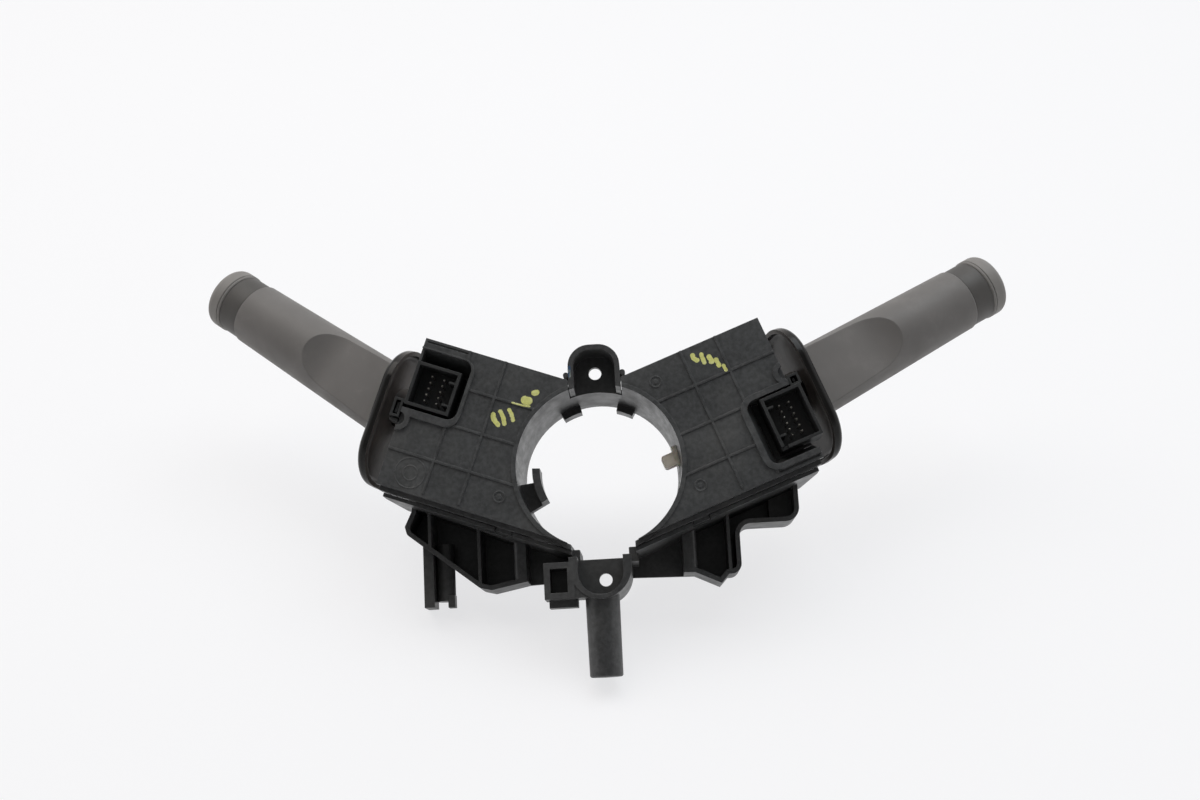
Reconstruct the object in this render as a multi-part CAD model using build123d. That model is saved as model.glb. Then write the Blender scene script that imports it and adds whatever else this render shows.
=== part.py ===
"""Combination stalk switch for a steering column.

A moulded bracket with a round column bore carries two switch modules, one for the wipers and one for
the turn signals. Each module is a housing with a ribbed rear cover, a contact base with its connector,
and a stalk that swings and tips in a carrier.

Frame: +X to the turn-signal side, +Y along the column bore towards the driver, +Z up. The origin is the
centre of the column bore in the plane of the two rear covers. Millimetres throughout.

Each module is drawn in its own axes: u outwards (X), depth (Y) and v across (Z). They are then turned
up by MODULE_TILT about the bore, and mirrored for the wiper side.
"""

from build123d import *
import os

# ---------------------------------------------------------------- driving dimensions
# column bore and ring
BORE_R = 32.0             # column bore at the rear covers
BORE_FAR_R = 30.9         # column bore at the driver's side, after the mould draft
BORE_DEPTH = 38.0         # length of the bore
RING_WALL = 1.8           # wall of the bore ring
TOP_GAP_HALF = 10.4       # half width of the gap between the modules above the bore
BOTTOM_GAP_HALF = 12.3    # half width of the gap between the modules below the bore

# modules
MODULE_TILT = 20.5        # rise of each module's centre line, degrees
MODULE_MID = -1.7         # v of the module's centre line
MODULE_HALF = 30.2        # half height of the rear cover
MODULE_END = 80.0         # u of the rear cover's outer end
COVER_T = 2.2             # rear cover thickness
COVER_INSET = 0.5         # how far the housing stands inside the cover's edge
LIP_W = 1.7               # raised lip of the cover round the bore
LIP_H = 0.6
RIB_W = 0.9               # grid ribs on the rear cover
RIB_H = 0.5
RIB_PITCH_U = 14.7
RIB_PITCH_V = 15.3
RIB_FIRST_U = 46.8
MARK_R = 2.4              # round ejector marks
MARK_W = 0.5
MARK_H = 0.25
MARK_DOT_R = 0.9
MOULD_RING_R = 6.2        # plain ring in the wiper cover's lower corner
GROOVE_W = 0.7            # groove along the cover's edge beside the connector well
GROOVE_D = 0.5

# housing
HOUSING_WALL = 1.8
HOUSING_FLOOR = 2.0
HOUSING_SLANT = 11.3      # backward slant of the housing's open end, degrees
HOUSING_END = 79.0        # u of the open end at the cover
SEAM_RAIL_H = 2.3         # rail along the housing's lower edge, behind the cover
SEAM_RAIL_T = 4.6
SEAM_RAIL_END = 78.6
NOTCH_U = 66.0            # cut-back corner of the open end, clear of the shroud
NOTCH_V = 16.0
NOTCH_Y = 28.5
NOSE_R = 7.5              # rounded nose of the floor round the carrier's bearing

# bracket
PLATE_T = 2.0             # back plate
TRAY_WALL = 1.5
TRAY_START_Y = 5.0        # near edge of the tray wall below each module
TRAY_END = 77.0
TRAY_GAP = 2.0            # from the module's lower edge to the tray
SNAP_START = 24.5         # snap nub of the housing in the tray's notch
SNAP_END = 31.0
SNAP_GAP = 0.4
SNAP_DEPTH = 5.0
PLATE_END = 70.0
PLATE_TOP = 26.0
POCKET_Y = 18.0           # near edge of the pocket walls
POCKET_WALL = 1.8
RIB_T = 1.2
LEFT_POST = -30.9         # flat face of the thick rounded wall in the left pocket
RIGHT_POST = 30.5
POST_T = 3.9
POST_R = 2.1
SHELF_STEP_X = 66.0       # raised step in the right pocket's shelf
SHELF_STEP_H = 6.0

# screw ears
EAR_FLOOR_Y = 14.0
EAR_FLOOR_T = 2.5
SCREW_HOLE_R = 2.55
TOP_EAR_R = 10.1
TOP_EAR_WALL = 2.0
TOP_EAR_CORNER = 8.4
KNUCKLE_R = 1.1           # small round pins beside the upper ear
KNUCKLE_X = 11.0
KNUCKLE_Z = 36.4
TOP_EAR_TOP = 48.0
TOP_SCREW_Z = 39.4
BOTTOM_EAR_X = -1.5
BOTTOM_EAR_R = 11.9
BOTTOM_EAR_IN_R = 8.7
BOTTOM_EAR_END = -50.7
BOTTOM_EAR_IN_END = -49.2
BOTTOM_EAR_TOP = -34.5
BOTTOM_SCREW_Z = -42.6

# screw boss under the lower ear
TUBE_R = 6.6
TUBE_TIP_R = 6.35
TUBE_Y = 9.0
TUBE_END = -79.8
PILOT_R = 2.1
PILOT_DEPTH = 20.0
TUBE_EDGE = 0.9

# square clip socket beside the lower ear
CLIP_X = -17.9
CLIP_Z = -43.2
CLIP_W = 10.4
CLIP_H = 13.8
CLIP_HOLE_W = 6.6
CLIP_HOLE_H = 9.2
CLIP_DEPTH = 13.0
CLIP_FLOOR = 2.0
CLIP_TAB_W = 11.0
CLIP_TAB_H = 2.9
CLIP_TAB_Y = 6.0

# T-shaped hook in the bore, on the wiper side
HOOK_IN_R = 23.2
HOOK_OUT_R = 26.2
HOOK_START = 177.0
HOOK_END = 208.0
HOOK_STEM_START = 187.0
HOOK_Y = 6.0
HOOK_DEPTH = 12.0
HOOK_STEM_Y = 13.0
HOOK_STEM_DEPTH = 5.0

# tabs at the far rim
TAB_R = 28.3
TAB_Y = 31.0
TAB_LEFT = (103.5, 119.0)
TAB_RIGHT = (61.0, 74.8)

# stalk and its carrier
PIVOT_U = 70.0
PIVOT_SHIFT = -0.95       # pivot from the middle of the room between contact base and floor
PIVOT_V = -2.2
WIPER_RISE = 16.9         # stalk above the module's centre line as stored, degrees
TURN_RISE = 7.9
STALK_LEAN = 14.0         # stalk towards the driver, degrees
RUN_GAP = 0.06            # radial clearance of the moving pins and shafts
SIDE_GAP = 0.4            # side clearance of moving pieces
TRUNNION_R = 3.0
CHEEK_T = 2.6
CHEEK_HALF_X = 4.0
NEAR_BRIDGE_T = 1.6       # carrier's bridges in front of and behind the stalk's eye
FAR_BRIDGE_T = 2.9
EYE_GAP = 1.8             # from the near bridge to the eye
CROSS_PIN_R = 1.5
EYE_HALF = 7.1
ARM_R = 3.5
ARM_END = -17.0
SHANK_R = 5.0
SHANK_END = 97.0
SPIGOT_R = 4.0
PLUNGER_R = 2.12
PLUNGER_TIP_R = 2.0
PLUNGER_TIP = -22.0
PLUNGER_BORE_END = -6.0
PLUNGER_TRAVEL = 1.2
DETENT_GAP = 0.3
DETENT_STEP = 5.0         # degrees between detent grooves
DETENT_GROOVE_R = 2.3
SPRING_WIRE = 0.45

# contact base and connectors
BASE_Y = 12.0
BASE_T = 2.0
HEADER_FLOOR = 3.0
HEADER_WALL = 1.2
HEADER_MOUTH = -1.0
PIN_W = 0.64
PIN_TIP_Y = 2.5
PIN_PITCH = 2.5
HEADER_RIB_L = 2.6        # keying ribs in the headers
HEADER_RIB_T = 0.8
BEAD_H = 1.1
WINDOW_R = 4.0
WELL_WALL = 1.0           # wall of the well round each header
WELL_GAP = 0.3
WELL_SLOPE = 4.6          # how far the well's sloped sides reach in
LATCH_WALL = 0.9
LATCH_DEPTH = 8.0
BAY_R = 2.8               # round bay in the cover beside the latch
BAY_BEAD_R = 4.7

# shroud
SHROUD_LEAN = 18.0
SHROUD_BACK = 18.9        # back face from the pivot
SHROUD_H = 57.4
SHROUD_D = 37.0
SHROUD_CORNER = 16.0
SHROUD_V = -0.6
SHROUD_W = -2.8
SHROUD_CUP = 4.8
SHROUD_WALL = 1.8
SHROUD_FLOOR = 2.0
SHROUD_EDGE = 3.0
SHROUD_IN_EDGE = 2.2
HUB_R = 8.0
HUB_L = 4.0

# grip, collar and knob, measured along the stalk from the pivot
GRIP_BASE_R = 15.1
GRIP_TIP_R = 13.3
GRIP_WALL = 2.0
GRIP_END = 101.5
SCALLOP_START = -6.8      # depth of the thumb flat at the pivot and where its ramp begins
SCALLOP_FLOOR = -8.8
SCALLOP_RAMP = 49.5
SCALLOP_R = 25.0
COLLAR_R = 12.8
COLLAR_END = 110.5
KNOB_R = 13.2
KNOB_END = 118.6
KNOB_LIP = 1.0
KNOB_GAP = 0.3

# self-cancelling pawl on the turn-signal side
PAWL_TIP = 24.2
PAWL_TAIL = 38.0
PAWL_V = -5.7
PAWL_W = 7.6
PAWL_Y = 20.0
PAWL_T = 5.0
PAWL_TRAVEL = 6.0
PAWL_GAP = 0.3
PAWL_SHOULDER = 1.6
PAWL_SPRING_R = 1.5
PAWL_NOSE = 5.2           # length of the narrow nose
PAWL_GUIDE_V = -20.0      # lower end of the guide that shows in the bore wall
PAWL_GUIDE_SINK = 0.6

# ---------------------------------------------------------------- derived sizes
MODULE_LOW = MODULE_MID - MODULE_HALF
MODULE_TOP = MODULE_MID + MODULE_HALF
HOUSING_FAR = BORE_DEPTH - PLATE_T - 0.1
FLOOR_Y = HOUSING_FAR - HOUSING_FLOOR
HOUSING_BORE_R = BORE_R + RING_WALL + 0.15
RIM_R = BORE_R + RING_WALL
PIVOT_Y = (BASE_Y + BASE_T + FLOOR_Y) / 2 + PIVOT_SHIFT
PIVOT = (PIVOT_U, PIVOT_Y, PIVOT_V)
YOKE_NEAR = BASE_Y + BASE_T + SIDE_GAP - PIVOT_Y + NEAR_BRIDGE_T
YOKE_FAR = FLOOR_Y - SIDE_GAP - PIVOT_Y - FAR_BRIDGE_T
EYE_R = -YOKE_NEAR - EYE_GAP
REACH = MODULE_END + 15   # far enough for any cutter to pass the module's outer end
RISE = {"wiper": WIPER_RISE, "turn": TURN_RISE}
DETENT_R = -PLUNGER_TIP + DETENT_GAP
BLOCK_BACK = PIVOT_U - DETENT_R - 2.6

# connector headers: inner size (u0, u1, v0, v1), spread of the pin columns, cover window (u0, v0, v1)
HEADER = {"wiper": (63.0, 78.6, 2.2, 17.6), "turn": (68.0, 82.6, -22.2, -3.0)}
PIN_SPREAD = {"wiper": 5.0, "turn": 4.1}
PIN_ROWS = {"wiper": 5, "turn": 6}
WINDOW = {"wiper": (58.6, -0.4, 24.2), "turn": (60.6, -27.6, -0.9)}
BEAD = {"wiper": (1.4, 3.0, 0.6), "turn": (2.4, 2.2, 2.2)}
LATCH = {"wiper": (80.2, 83.9, -4.8, 2.7), "turn": (80.2, 84.7, -1.9, 2.6)}
BAY = {"wiper": (80.3, -5.2), "turn": (80.5, 4.2)}
GROOVE = {"wiper": (62.0, 79.0, 27.2), "turn": (62.4, 79.2, -30.4)}
HEADER_RIBS = {"wiper": (4.9, 14.0), "turn": (-18.0, -6.2)}
MARKS = {"wiper": ((32.9, -22.9),), "turn": ((32.5, -22.8), (33.3, 21.2))}
MOULD_RING = (68.8, -24.2)


# ---------------------------------------------------------------- helpers
def slab(outline, y0, y1):
    """Extrude an outline drawn in X and Z from depth y0 to depth y1."""
    return extrude(Plane.XZ.offset(-y1) * outline, amount=y1 - y0)


def block(x0, x1, y0, y1, z0, z1):
    """Box between two corners."""
    middle = Pos((x0 + x1) / 2, (y0 + y1) / 2, (z0 + z1) / 2)
    return middle * Box(x1 - x0, y1 - y0, z1 - z0)


def rectangle(x0, x1, z0, z1, corner=0.0):
    """Rectangle in an X-Z outline, with rounded corners if asked."""
    middle = Pos((x0 + x1) / 2, (z0 + z1) / 2)
    if corner:
        return middle * RectangleRounded(x1 - x0, z1 - z0, corner)
    return middle * Rectangle(x1 - x0, z1 - z0)


def disc(x, z, radius):
    """Circle in an X-Z outline."""
    return Pos(x, z) * Circle(radius)


def sector(r0, r1, start, end):
    """Piece of a ring between two angles, in an X-Z outline."""
    far = 3 * r1
    middle = (start + end) / 2
    half = (end - start) / 2
    wedge = Polygon((0, 0), (far, -far * tan_deg(half)), (far, far * tan_deg(half)), align=None)
    return (Circle(r1) - Circle(r0)) & (Rot(0, 0, middle) * wedge)


def tan_deg(angle):
    """Tangent of an angle in degrees."""
    return Vector(1, 0).rotate(Axis.Z, angle).Y / Vector(1, 0).rotate(Axis.Z, angle).X


def rod(radius, x0, x1):
    """Round bar along X."""
    return Pos((x0 + x1) / 2, 0, 0) * Rot(0, 90, 0) * Cylinder(radius, x1 - x0)


def rounded(points, rounds):
    """Outline through the points, with a fillet of the given radius at some of them."""
    shape = make_face(Polyline(*points, close=True))
    for index, radius in rounds.items():
        shape = fillet(shape.vertices().sort_by_distance(Vector(*points[index]))[0], radius)
    return shape


def coil(radius, wire, x0, x1, turns):
    """Compression spring along X, in short straight lengths."""
    lengths = 9
    rise = (x1 - x0 - wire) / (turns * lengths)
    spokes = [Vector(0, radius).rotate(Axis.Z, 360 / lengths * step) for step in range(turns * lengths + 1)]
    path = Polyline(*[(x0 + wire / 2 + rise * step, spoke.X, spoke.Y) for step, spoke in enumerate(spokes)])
    section = Plane(origin=path @ 0, z_dir=path % 0) * RegularPolygon(wire / 2, 6)
    return sweep(section, path=path, transition=Transition.RIGHT)


def place(side, solid):
    """Turn a module piece up about the bore, and mirror it for the wiper side."""
    turned = Rot(0, -MODULE_TILT, 0) * solid
    if side == "wiper":
        return mirror(turned, about=Plane.YZ)
    return turned


def swing_frame(side):
    """Frame at the stalk's pivot, with X along the stalk as seen from the rear."""
    return Pos(*PIVOT) * Rot(0, -RISE[side], 0)


def stalk_frame(side):
    """Frame at the stalk's pivot, with X along the stalk itself."""
    return swing_frame(side) * Rot(0, 0, STALK_LEAN)


def shroud_frame():
    """Frame at the stalk's pivot, with X square to the shroud."""
    return Pos(*PIVOT) * Rot(0, 0, SHROUD_LEAN)


def gap_cutter(y0, y1, margin=0.0):
    """Space between the two modules above and below the bore, in module axes."""
    top = rectangle(-REACH, TOP_GAP_HALF + margin, 0, REACH)
    low = rectangle(-REACH, BOTTOM_GAP_HALF + margin, -REACH, 0)
    return Rot(0, MODULE_TILT, 0) * slab(top + low, y0, y1)


# ---------------------------------------------------------------- bracket
def bore_ring():
    """Drafted bore ring, open above and below between the modules."""
    profile = Polygon(
        (BORE_R, COVER_T), (RIM_R, COVER_T), (RIM_R, BORE_DEPTH), (BORE_FAR_R, BORE_DEPTH), align=None)
    ring = revolve(profile, axis=Axis.Y)
    ring -= block(-TOP_GAP_HALF, TOP_GAP_HALF, -1, EAR_FLOOR_Y, 0, REACH)
    ring -= block(-BOTTOM_GAP_HALF, BOTTOM_GAP_HALF, -1, BORE_DEPTH + 1, -REACH, 0)
    return ring


def tabs():
    """Two short tabs inside the far rim, beside the top."""
    left = sector(TAB_R, BORE_FAR_R + 1, *TAB_LEFT)
    right = sector(TAB_R, BORE_FAR_R + 1, *TAB_RIGHT)
    return slab(left + right, TAB_Y, BORE_DEPTH)


def hook():
    """T-shaped hook that stands into the bore on the wiper side."""
    plate = slab(sector(HOOK_IN_R, HOOK_OUT_R, HOOK_START, HOOK_END), HOOK_Y, HOOK_Y + HOOK_DEPTH)
    stem = slab(
        sector(HOOK_OUT_R - 0.5, BORE_R + 0.9, HOOK_STEM_START, HOOK_END),
        HOOK_STEM_Y, HOOK_STEM_Y + HOOK_STEM_DEPTH)
    return plate + stem


def top_ear():
    """Upper screw ear: a cup with a screw hole in its floor, and a small pin at each side."""
    root = BORE_R - 2.0
    low = TOP_EAR_TOP - 2.2 * TOP_EAR_CORNER
    outer = rectangle(-TOP_EAR_R, TOP_EAR_R, low, TOP_EAR_TOP, TOP_EAR_CORNER)
    outer += rectangle(-TOP_EAR_R, TOP_EAR_R, root, TOP_EAR_TOP - TOP_EAR_CORNER)
    inner = offset(outer, amount=-TOP_EAR_WALL) + rectangle(
        TOP_EAR_WALL - TOP_EAR_R, TOP_EAR_R - TOP_EAR_WALL, root - 1, TOP_EAR_TOP - TOP_EAR_CORNER)
    ear = slab(outer, 0, EAR_FLOOR_Y + EAR_FLOOR_T) - slab(inner, -1, EAR_FLOOR_Y)
    for sign in (-1, 1):
        ear += slab(disc(sign * KNUCKLE_X, KNUCKLE_Z, KNUCKLE_R), 0.6, EAR_FLOOR_Y)
    ear -= slab(Circle(BORE_R), -1, EAR_FLOOR_Y + EAR_FLOOR_T + 1)
    return ear - slab(disc(0, TOP_SCREW_Z, SCREW_HOLE_R), EAR_FLOOR_Y - 1, BORE_DEPTH)


def bottom_ear():
    """Lower screw ear, flat on top, with thick side walls."""
    centre = BOTTOM_EAR_END + BOTTOM_EAR_R
    inner_centre = BOTTOM_EAR_IN_END + BOTTOM_EAR_IN_R
    x = BOTTOM_EAR_X
    outer = disc(x, centre, BOTTOM_EAR_R)
    outer += rectangle(x - BOTTOM_EAR_R, x + BOTTOM_EAR_R, centre, BOTTOM_EAR_TOP)
    inner = disc(x, inner_centre, BOTTOM_EAR_IN_R)
    inner += rectangle(x - BOTTOM_EAR_IN_R, x + BOTTOM_EAR_IN_R, inner_centre, BOTTOM_EAR_TOP + 1)
    outer &= rectangle(x - BOTTOM_EAR_R, x + BOTTOM_EAR_R, BOTTOM_EAR_END - 1, BOTTOM_EAR_TOP)
    ear = slab(outer, 0, BORE_DEPTH) - slab(inner, -1, EAR_FLOOR_Y)
    ear -= slab(inner, EAR_FLOOR_Y + EAR_FLOOR_T, BORE_DEPTH + 1)
    return ear - slab(disc(0, BOTTOM_SCREW_Z, SCREW_HOLE_R), 0, BORE_DEPTH)


def screw_boss():
    """Long tapered boss below the lower ear, with a pilot hole up its end."""
    top = BOTTOM_EAR_END + 2.0
    length = top - TUBE_END
    boss = Pos(BOTTOM_EAR_X, TUBE_Y, top - length / 2) * Cone(TUBE_TIP_R, TUBE_R, length)
    boss = fillet(boss.faces().sort_by(Axis.Z)[0].edges(), TUBE_EDGE)
    pilot = Pos(BOTTOM_EAR_X, TUBE_Y, TUBE_END + PILOT_DEPTH / 2) * Cylinder(PILOT_R, PILOT_DEPTH)
    return boss - pilot


def clip_socket():
    """Square clip socket beside the lower ear, with a tab under it."""
    left = CLIP_X - CLIP_W / 2
    right = CLIP_X + CLIP_W / 2
    low = CLIP_Z - CLIP_H / 2
    high = CLIP_Z + CLIP_H / 2
    socket = block(left, right + 1, 0, CLIP_DEPTH, low, high)
    hole_x = CLIP_X + 0.4
    hole = rectangle(hole_x - CLIP_HOLE_W / 2, hole_x + CLIP_HOLE_W / 2,
                     CLIP_Z - CLIP_HOLE_H / 2, CLIP_Z + CLIP_HOLE_H / 2)
    socket -= slab(hole, -1, CLIP_DEPTH - CLIP_FLOOR)
    tab = block(left + 1.3, left + 1.3 + CLIP_TAB_W, CLIP_TAB_Y, CLIP_DEPTH, low - CLIP_TAB_H, low + 0.5)
    brace = block(left, right + 1, CLIP_DEPTH, BORE_DEPTH, high - 2, high)
    return socket + tab + brace


# outlines of the lower pockets, in X and Z, run along the pocket's outer edge, and their rounded corners
LEFT_POCKET = ((-75.0, -7.0), (-75.6, -11.2), (-78.4, -17.0), (-77.6, -20.2), (-49.6, -42.6), (-45.0, -43.8),
               (-31.0, -41.2), (-13.0, -40.6), (-13.0, -33.0))
LEFT_ROUNDS = {3: 2.5, 4: 4.0}
RIGHT_POCKET = ((10.0, -32.0), (10.0, -40.5), (34.8, -41.2), (44.8, -46.0), (48.0, -42.6), (53.0, -42.6),
                (53.1, -23.3), (77.0, -23.4), (77.0, -6.0))
RIGHT_ROUNDS = {5: 4.0, 6: 4.5, 7: 5.5}

# cross ribs of the pockets: x, lower end, upper end
LEFT_RIBS = ((-68.6, -30.0, -5.0), (-49.3, -45.0, -10.0))
RIGHT_RIBS = ((48.65, -44.5, -10.0),)


def pocket(outline, rounds, floor_y, bare, ribs):
    """Walled pocket below a module: the floor, cross ribs and a rim along all but the bare part."""
    shape = rounded(outline, rounds)
    rim = slab(shape, POCKET_Y, BORE_DEPTH) - slab(offset(shape, amount=-POCKET_WALL), 0, floor_y)
    rim -= block(*bare, 0, floor_y, -REACH, 0)
    for x, z0, z1 in ribs:
        rib = rectangle(x - RIB_T / 2, x + RIB_T / 2, z0, z1) & shape
        rim += slab(rib, POCKET_Y, BORE_DEPTH)
    return rim


def back_plate():
    """Plate behind both modules, with the tray walls under them."""
    tray_top = MODULE_LOW - TRAY_GAP
    wing = rectangle(20, PLATE_END, tray_top, PLATE_TOP, 3)
    plate = slab(wing, BORE_DEPTH - PLATE_T, BORE_DEPTH)
    tray = slab(rectangle(0, TRAY_END, tray_top - TRAY_WALL, tray_top), TRAY_START_Y, BORE_DEPTH)
    tray -= gap_cutter(0, BORE_DEPTH + 1)
    slope = block(0, REACH, -REACH, REACH, -REACH, 0)
    tray -= Pos(TRAY_END, TRAY_START_Y + 8, 0) * Rot(0, 0, HOUSING_SLANT) * slope
    tray -= block(SNAP_START - SNAP_GAP, SNAP_END + SNAP_GAP, 0, TRAY_START_Y + SNAP_DEPTH, -REACH, 0)
    both = plate + tray
    hole = slab(Circle(BORE_R + 0.4), -1, BORE_DEPTH + 1)
    return place("turn", both) + place("wiper", both) - hole


def left_leg():
    """Leg under the wiper pocket: a strip and a half-round column with a foot."""
    strip = block(-72.0, -68.0, 22.0, 34.0, -48.9, -24.0)
    column = Pos(-64.2, 30.0, -35.0) * Cylinder(3.7, 22.6)
    web = block(-69.0, -62.0, 30.0, 34.0, -46.0, -26.0)
    foot = block(-63.2, -60.5, 26.3, 32.0, -48.9, -44.0)
    return strip + column + web + foot


def module_space():
    """Room for both housings in front of the back plate."""
    outline = rectangle(-5, REACH, MODULE_LOW - TRAY_GAP, REACH) - Circle(RIM_R - 0.6)
    space = slab(outline, -1, BORE_DEPTH - PLATE_T)
    return place("turn", space) + place("wiper", space)


def post(x, side, z0, z1):
    """Thick wall with a round nose, standing in a pocket."""
    floor_y = BORE_DEPTH - PLATE_T
    inner = x + side * (POST_T - POST_R)
    wall = block(min(x, inner), max(x, inner), POCKET_Y, floor_y + 0.2, z0, z1)
    nose = Pos(inner, POCKET_Y + POST_R, (z0 + z1) / 2) * Cylinder(POST_R, z1 - z0)
    back = inner + side * POST_R
    fill = block(min(inner, back), max(inner, back), POCKET_Y + POST_R, floor_y + 0.2, z0, z1)
    return wall + nose + fill


def shelf_step():
    """Raised step in the outer end of the right pocket's shelf."""
    floor_y = BORE_DEPTH - PLATE_T
    step = block(SHELF_STEP_X, 76.0, floor_y - SHELF_STEP_H, floor_y + 0.2, -22.4, -8.0)
    return step & slab(rounded(RIGHT_POCKET, RIGHT_ROUNDS), 0, BORE_DEPTH)


def column_bracket():
    """One moulding: ring, ears, boss, clip socket, back plate, pockets, leg and hook."""
    floor_y = BORE_DEPTH - PLATE_T
    left = pocket(LEFT_POCKET, LEFT_ROUNDS, floor_y, (LEFT_POST + 0.05, 0), LEFT_RIBS)
    right = pocket(RIGHT_POCKET, RIGHT_ROUNDS, floor_y, (0, RIGHT_POST - 0.05), RIGHT_RIBS)
    pockets = left + right + left_leg() + shelf_step()
    pockets += post(LEFT_POST, -1, -41.2, -24.0)
    pockets += post(RIGHT_POST, 1, -41.1, -24.0)
    pockets -= module_space()
    pockets -= slab(Circle(BORE_R + 0.4), 0, BORE_DEPTH + 1)
    bracket = back_plate() + pockets + bore_ring()
    bracket += bottom_ear()
    bracket += top_ear()
    bracket += screw_boss()
    bracket += clip_socket()
    for sign in (-1, 1):
        x = sign * (BOTTOM_GAP_HALF - 1.0)
        end = block(x - 1.8, x + 1.8, EAR_FLOOR_Y, BORE_DEPTH - 0.5, -36.0, -30.4)
        bracket += end - slab(Circle(BORE_R), 0, 40)
    bracket += tabs()
    bracket += hook()
    return bracket - place("turn", pawl_slot(PIVOT_U))


def pawl_slot(outer):
    """Slot for the pawl and its guide through the walls round the bore."""
    low = PAWL_GUIDE_V - PAWL_GAP
    high = PAWL_V + PAWL_W / 2 + PAWL_GAP
    half = PAWL_T / 2 + PAWL_GAP
    return block(20.0, outer, PAWL_Y - half, PAWL_Y + half, low, high)


# ---------------------------------------------------------------- module casing
def cover_outline():
    """Rear cover's outline, cut round the bore."""
    return rectangle(-10, MODULE_END, MODULE_LOW, MODULE_TOP) - Circle(BORE_R)


def window_outline(side, left=0.0, low=0.0, high=0.0):
    """Connector window in the rear cover, open at the module's end, grown at its sides if asked."""
    u0, v0, v1 = WINDOW[side]
    corner = WINDOW_R + min(left, low)
    return rectangle(u0 - left, REACH, v0 - low, v1 + high, corner)


def well(side):
    """Wall of the well behind the window, with sloped sides where the header leaves room."""
    wall = WELL_WALL
    far = BASE_Y - WELL_GAP
    outline = window_outline(side, wall, wall, wall)
    liner = slab(outline, COVER_T - 0.1, far) - slab(window_outline(side), 0, far + 1)
    u0, v0, v1 = WINDOW[side]
    if side == "wiper":
        side_wall = Polygon((0.3, v1 + 0.1), (far, v1 + 0.1), (far, v1 - WELL_SLOPE), align=None)
        slope = Plane.YZ.offset(u0 - 0.1) * side_wall
        liner += extrude(slope, amount=MODULE_END - u0)
        header_end = HEADER[side][1] + HEADER_WALL
        liner += block(header_end - 0.8, MODULE_END, 0.0, far, HEADER[side][3] + HEADER_WALL + 0.1, v1 + 0.1)
    else:
        inner_wall = Polygon((u0 - 0.1, 0.3), (u0 + 3.2, 7.0), (u0 + 3.2, far), (u0 - 0.1, far), align=None)
        slope = Plane.XY.offset(v0 - 0.1) * inner_wall
        liner += extrude(slope, amount=v1 - v0 + 0.2)
        low_wall = Polygon((0.3, v0 - 0.1), (far, v0 - 0.1), (far, v0 + 3.0), align=None)
        ledge = Plane.YZ.offset(u0 - 0.1) * low_wall
        liner += extrude(ledge, amount=MODULE_END - u0)
    liner &= slab(outline, 0, far)
    return liner - block(MODULE_END, 2 * REACH, -REACH, REACH, -REACH, REACH)


def rear_cover(side):
    """Rear cover: plate, bore lip, grid ribs, connector well with its bead, groove and ejector marks."""
    plate = slab(cover_outline(), 0, COVER_T)
    face = slab(cover_outline(), -5, 0)
    grid = rectangle(-10, MODULE_END, MODULE_MID - RIB_W / 2, MODULE_MID + RIB_W / 2)
    for step in (-1, 1):
        v = MODULE_MID + step * RIB_PITCH_V
        grid += rectangle(-10, MODULE_END, v - RIB_W / 2, v + RIB_W / 2)
    for step in range(2):
        u = RIB_FIRST_U + step * RIB_PITCH_U
        grid += rectangle(u - RIB_W / 2, u + RIB_W / 2, MODULE_LOW + 1.5, MODULE_TOP)
    cover = plate + (slab(grid, -RIB_H, 0.1) & face)
    cover += slab(Circle(BORE_R + LIP_W) - Circle(BORE_R), -LIP_H, 0.1) & face
    bay_u, bay_v = BAY[side]
    bead = window_outline(side, *BEAD[side]) + disc(bay_u, bay_v, BAY_BEAD_R)
    cover += slab(bead, -BEAD_H, 0.1) & face
    cover -= slab(window_outline(side) + disc(bay_u, bay_v, BAY_R), -5, COVER_T + 1)
    g0, g1, gv = GROOVE[side]
    cover -= slab(rectangle(g0, g1, gv - GROOVE_W / 2, gv + GROOVE_W / 2, GROOVE_W / 2 - 0.05), -5, GROOVE_D)
    for u, v in MARKS[side]:
        cover += slab(disc(u, v, MARK_R) - disc(u, v, MARK_R - MARK_W) + disc(u, v, MARK_DOT_R), -MARK_H, 0.1)
    if side == "wiper":
        u, v = MOULD_RING
        for radius in (MOULD_RING_R, MOULD_RING_R / 2):
            cover += slab(disc(u, v, radius) - disc(u, v, radius - MARK_W), -MARK_H / 2, 0.1)
    cover += well(side)
    return cover - gap_cutter(-5, 5)


def end_slope(margin=0.0):
    """Everything outside the housing's slanted open end."""
    corner = Pos(HOUSING_END + margin, COVER_T, 0)
    return corner * Rot(0, 0, HOUSING_SLANT) * block(0, REACH, -REACH, REACH, -REACH, REACH)


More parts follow.
